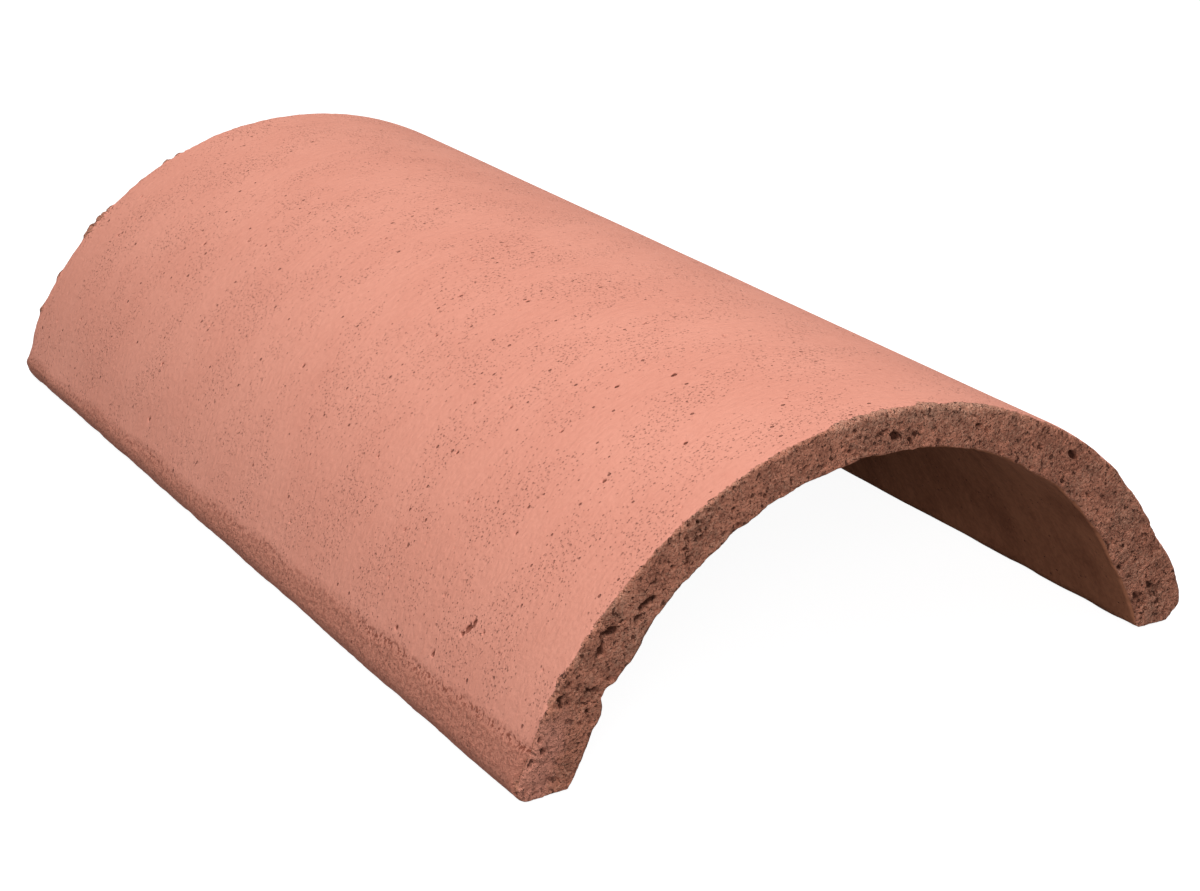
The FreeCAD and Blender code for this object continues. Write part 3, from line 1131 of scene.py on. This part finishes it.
def floor_material():
    """Floor that the camera sees white, with the tile's soft shadow on it, and that lights the tile like a
    plain grey one."""
    material = bpy.data.materials.new("studio_floor")
    material.use_nodes = True
    tree = material.node_tree
    tree.nodes.clear()
    output = tree.nodes.new("ShaderNodeOutputMaterial")
    path = tree.nodes.new("ShaderNodeLightPath")
    seen = maths(tree, "MAXIMUM", path.outputs["Is Camera Ray"], path.outputs["Is Glossy Ray"])
    seen = maths(tree, "MAXIMUM", seen, path.outputs["Is Transmission Ray"])
    plain = add_node(tree, "ShaderNodeBsdfDiffuse", {"Color": (0.20, 0.20, 0.20, 1.0)})
    bright = add_node(tree, "ShaderNodeBsdfDiffuse", {"Color": (0.36, 0.36, 0.365, 1.0)})
    glow = add_node(tree, "ShaderNodeEmission", {"Color": (1.0, 1.0, 1.0, 1.0), "Strength": 0.93})
    white = add_node(tree, "ShaderNodeAddShader", {0: bright.outputs[0], 1: glow.outputs[0]})
    mixed = add_node(tree, "ShaderNodeMixShader", {0: seen, 1: plain.outputs[0], 2: white.outputs[0]})
    tree.links.new(mixed.outputs[0], output.inputs["Surface"])
    return material


# ---------------------------------------------------------------- operators

class RIDGETILE_OT_tile(bpy.types.Operator):
    """Build the tile with its porous ends, its coat and its inner face"""

    bl_idname = "ridgetile.tile"
    bl_label = "Ridge tile"

    def execute(self, context):
        scene = context.scene
        finish = scene.ridgetile_finish
        tile = bpy.data.objects.new("half_round_tile", tile_mesh(scene.ridgetile_shape))
        scene.collection.objects.link(tile)
        pinholes, sand, clouds = pinhole_group(), sand_group(), cloud_group()
        tile.data.materials.append(coat_material(finish, pinholes, sand, clouds))
        tile.data.materials.append(raw_material(finish, sand))
        tile.data.materials.append(soffit_material(finish, pinholes, clouds))
        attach(tile, BODY)
        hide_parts(NODE)
        return {"FINISHED"}


# Floor and lamps, in metres
FLOOR_SIZE = 16.0
TOP_LAMP = {"place": (0.1, -0.15, 1.9), "aim": (0, 0, 0.05), "size": 1.6}
FRONT_LAMP = {"place": (1.45, -0.85, 0.7), "aim": (0.2, 0, 0.05), "size": 0.8}


def add_lamp(name, place, aim, size, power):
    """A square lamp at a place, turned to shine at a point."""
    light = bpy.data.lights.new(name, "AREA")
    light.shape, light.size, light.energy = "SQUARE", size, power
    lamp = bpy.data.objects.new(name, light)
    place = np.array(place, dtype=float)
    back = (place - aim) / np.linalg.norm(place - aim)
    side = np.cross((0, 1, 0) if abs(back[2]) > 0.9 else (0, 0, 1), back)
    side /= np.linalg.norm(side)
    turn = np.eye(4)
    turn[:3, :3] = np.stack([side, np.cross(back, side), back], axis=1)
    turn[:3, 3] = place
    lamp.matrix_world = Matrix(turn.tolist())
    bpy.context.scene.collection.objects.link(lamp)


def add_camera(studio):
    """The camera: it looks along -back, from distance along back plus two shifts across its line of sight."""
    azimuth, elevation, roll = studio.azimuth, studio.elevation, studio.roll
    level = math.cos(elevation)
    back = np.array([math.sin(azimuth) * level, -math.cos(azimuth) * level, math.sin(elevation)])
    flat_right = np.array([math.cos(azimuth), math.sin(azimuth), 0.0])
    flat_up = np.cross(back, flat_right)
    right = flat_right * math.cos(roll) + flat_up * math.sin(roll)
    up = flat_up * math.cos(roll) - flat_right * math.sin(roll)
    turn = np.eye(4)
    turn[:3, :3] = np.stack([right, up, back], axis=1)
    turn[:3, 3] = back * studio.distance + right * studio.sideways + up * studio.upwards
    data = bpy.data.cameras.new("camera")
    data.lens, data.sensor_width, data.clip_end = studio.lens, 36.0, 100.0
    camera = bpy.data.objects.new("camera", data)
    camera.matrix_world = Matrix(turn.tolist())
    bpy.context.scene.collection.objects.link(camera)
    bpy.context.scene.camera = camera


def add_world(strength):
    """Even light from all round, which the camera sees as white."""
    world = bpy.data.worlds.new("studio")
    world.use_nodes = True
    tree = world.node_tree
    tree.nodes.clear()
    output = tree.nodes.new("ShaderNodeOutputWorld")
    path = tree.nodes.new("ShaderNodeLightPath")
    level = between(tree, path.outputs["Is Camera Ray"], 0.0, 1.0, strength, 1.0)
    background = add_node(tree, "ShaderNodeBackground", {"Color": (1.0, 1.0, 1.0, 1.0), "Strength": level})
    tree.links.new(background.outputs[0], output.inputs["Surface"])
    bpy.context.scene.world = world


class RIDGETILE_OT_studio(bpy.types.Operator):
    """Add the floor, the lamps, the even light and the camera"""

    bl_idname = "ridgetile.studio"
    bl_label = "Studio"

    def execute(self, context):
        studio = context.scene.ridgetile_studio
        half = FLOOR_SIZE / 2
        corners = [(-half, -half, 0), (half, -half, 0), (half, half, 0), (-half, half, 0)]
        mesh = bpy.data.meshes.new("floor")
        mesh.from_pydata(corners, [], [(0, 1, 2, 3)])
        floor = bpy.data.objects.new("floor", mesh)
        mesh.materials.append(floor_material())
        context.scene.collection.objects.link(floor)
        add_lamp("top_lamp", power=studio.top_power, **TOP_LAMP)
        add_lamp("front_lamp", power=studio.front_power, **FRONT_LAMP)
        add_world(studio.fill)
        add_camera(studio)
        context.scene.view_settings.view_transform = "Standard"
        return {"FINISHED"}


# ---------------------------------------------------------------- panel and registration

class RIDGETILE_PT_panel(bpy.types.Panel):
    """Lists the tile's settings and its two steps"""

    bl_idname = "RIDGETILE_PT_panel"
    bl_label = "Half round ridge tile"
    bl_space_type = "VIEW_3D"
    bl_region_type = "UI"
    bl_category = "Ridge tile"

    def draw(self, context):
        scene = context.scene
        for title, group in (("Shape", scene.ridgetile_shape), ("Finish", scene.ridgetile_finish),
                             ("Studio", scene.ridgetile_studio)):
            box = self.layout.box()
            box.label(text=title)
            for name in group.__annotations__:
                box.prop(group, name)
        self.layout.operator(RIDGETILE_OT_tile.bl_idname)
        self.layout.operator(RIDGETILE_OT_studio.bl_idname)


CLASSES = (TileShape, TileFinish, TileStudio, RIDGETILE_OT_tile, RIDGETILE_OT_studio, RIDGETILE_PT_panel)


def register():
    for cls in CLASSES:
        bpy.utils.register_class(cls)
    bpy.types.Scene.ridgetile_shape = PointerProperty(type=TileShape)
    bpy.types.Scene.ridgetile_finish = PointerProperty(type=TileFinish)
    bpy.types.Scene.ridgetile_studio = PointerProperty(type=TileStudio)


def unregister():
    del bpy.types.Scene.ridgetile_studio
    del bpy.types.Scene.ridgetile_finish
    del bpy.types.Scene.ridgetile_shape
    for cls in reversed(CLASSES):
        bpy.utils.unregister_class(cls)


def main():
    """Builds the tile and the studio."""
    register()
    bpy.ops.ridgetile.tile()
    bpy.ops.ridgetile.studio()


if __name__ == "__main__":
    main()
